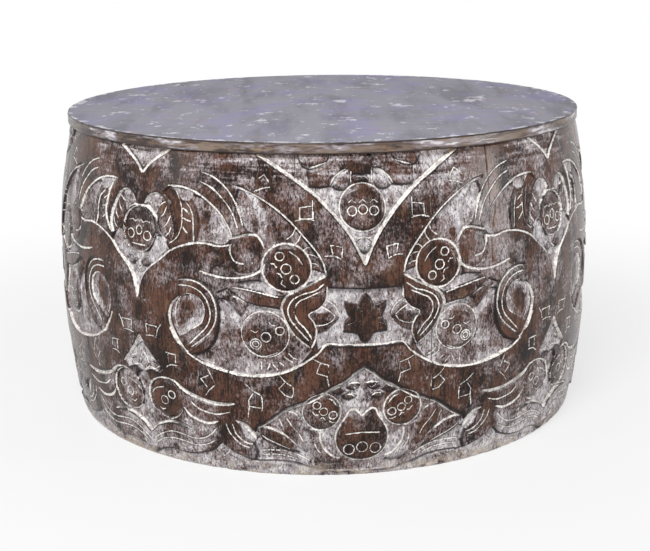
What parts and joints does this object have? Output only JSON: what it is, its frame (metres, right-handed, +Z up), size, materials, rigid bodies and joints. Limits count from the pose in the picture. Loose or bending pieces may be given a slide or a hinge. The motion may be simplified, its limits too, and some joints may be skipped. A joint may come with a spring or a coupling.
{
  "type": "drum table",
  "caption": "Low round table with a carved barrel body of upright staves, open underneath, and a flat round top of edge-jointed boards.",
  "frame": {"origin": "on the floor, under the middle of the round top", "axes": "+Z up along the drum's axis; the side that is pictured looks along -Y"},
  "size_m": [0.915, 0.915, 0.502],
  "materials": {
    "carved_wood": "carved, dark stain under a rubbed whitewash",
    "washed_top": "flat, grey-violet wash worn through at the edge",
    "bare_wood": "planed, unfinished",
    "dowel_wood": "turned or planed, unfinished",
    "zinc_steel": "zinc plated"
  },
  "bodies": {
    "root": {"batten_board_screws": "zinc_steel", "batten_end_screws": "zinc_steel", "cross_batten_lower_half": "bare_wood", "cross_batten_upper_half": "bare_wood", "lower_ring_segment_1": "bare_wood", "lower_ring_segment_2": "bare_wood", "lower_ring_segment_3": "bare_wood", "lower_ring_segment_4": "bare_wood", "lower_ring_segment_5": "bare_wood", "lower_ring_segment_6": "bare_wood", "ring_screws": "zinc_steel", "stave_01": "carved_wood", "stave_02": "carved_wood", "stave_03": "carved_wood", "stave_04": "carved_wood", "stave_05": "carved_wood", "stave_06": "carved_wood", "stave_07": "carved_wood", "stave_08": "carved_wood", "stave_09": "carved_wood", "stave_10": "carved_wood", "stave_11": "carved_wood", "stave_12": "carved_wood", "stave_13": "carved_wood", "stave_14": "carved_wood", "stave_15": "carved_wood", "stave_16": "carved_wood", "stave_17": "carved_wood", "stave_18": "carved_wood", "stave_19": "carved_wood", "stave_20": "carved_wood", "stave_21": "carved_wood", "stave_22": "carved_wood", "stave_23": "carved_wood", "stave_24": "carved_wood", "stave_25": "carved_wood", "stave_26": "carved_wood", "stave_27": "carved_wood", "stave_28": "carved_wood", "stave_dowels": "dowel_wood", "top_board_1": "washed_top", "top_board_2": "washed_top", "top_board_3": "washed_top", "top_board_4": "washed_top", "top_board_5": "washed_top", "top_board_6": "washed_top", "top_board_7": "washed_top", "top_board_tongues": "dowel_wood", "upper_ring_segment_1": "bare_wood", "upper_ring_segment_2": "bare_wood", "upper_ring_segment_3": "bare_wood", "upper_ring_segment_4": "bare_wood", "upper_ring_segment_5": "bare_wood", "upper_ring_segment_6": "bare_wood"}
  },
  "joints": []
}
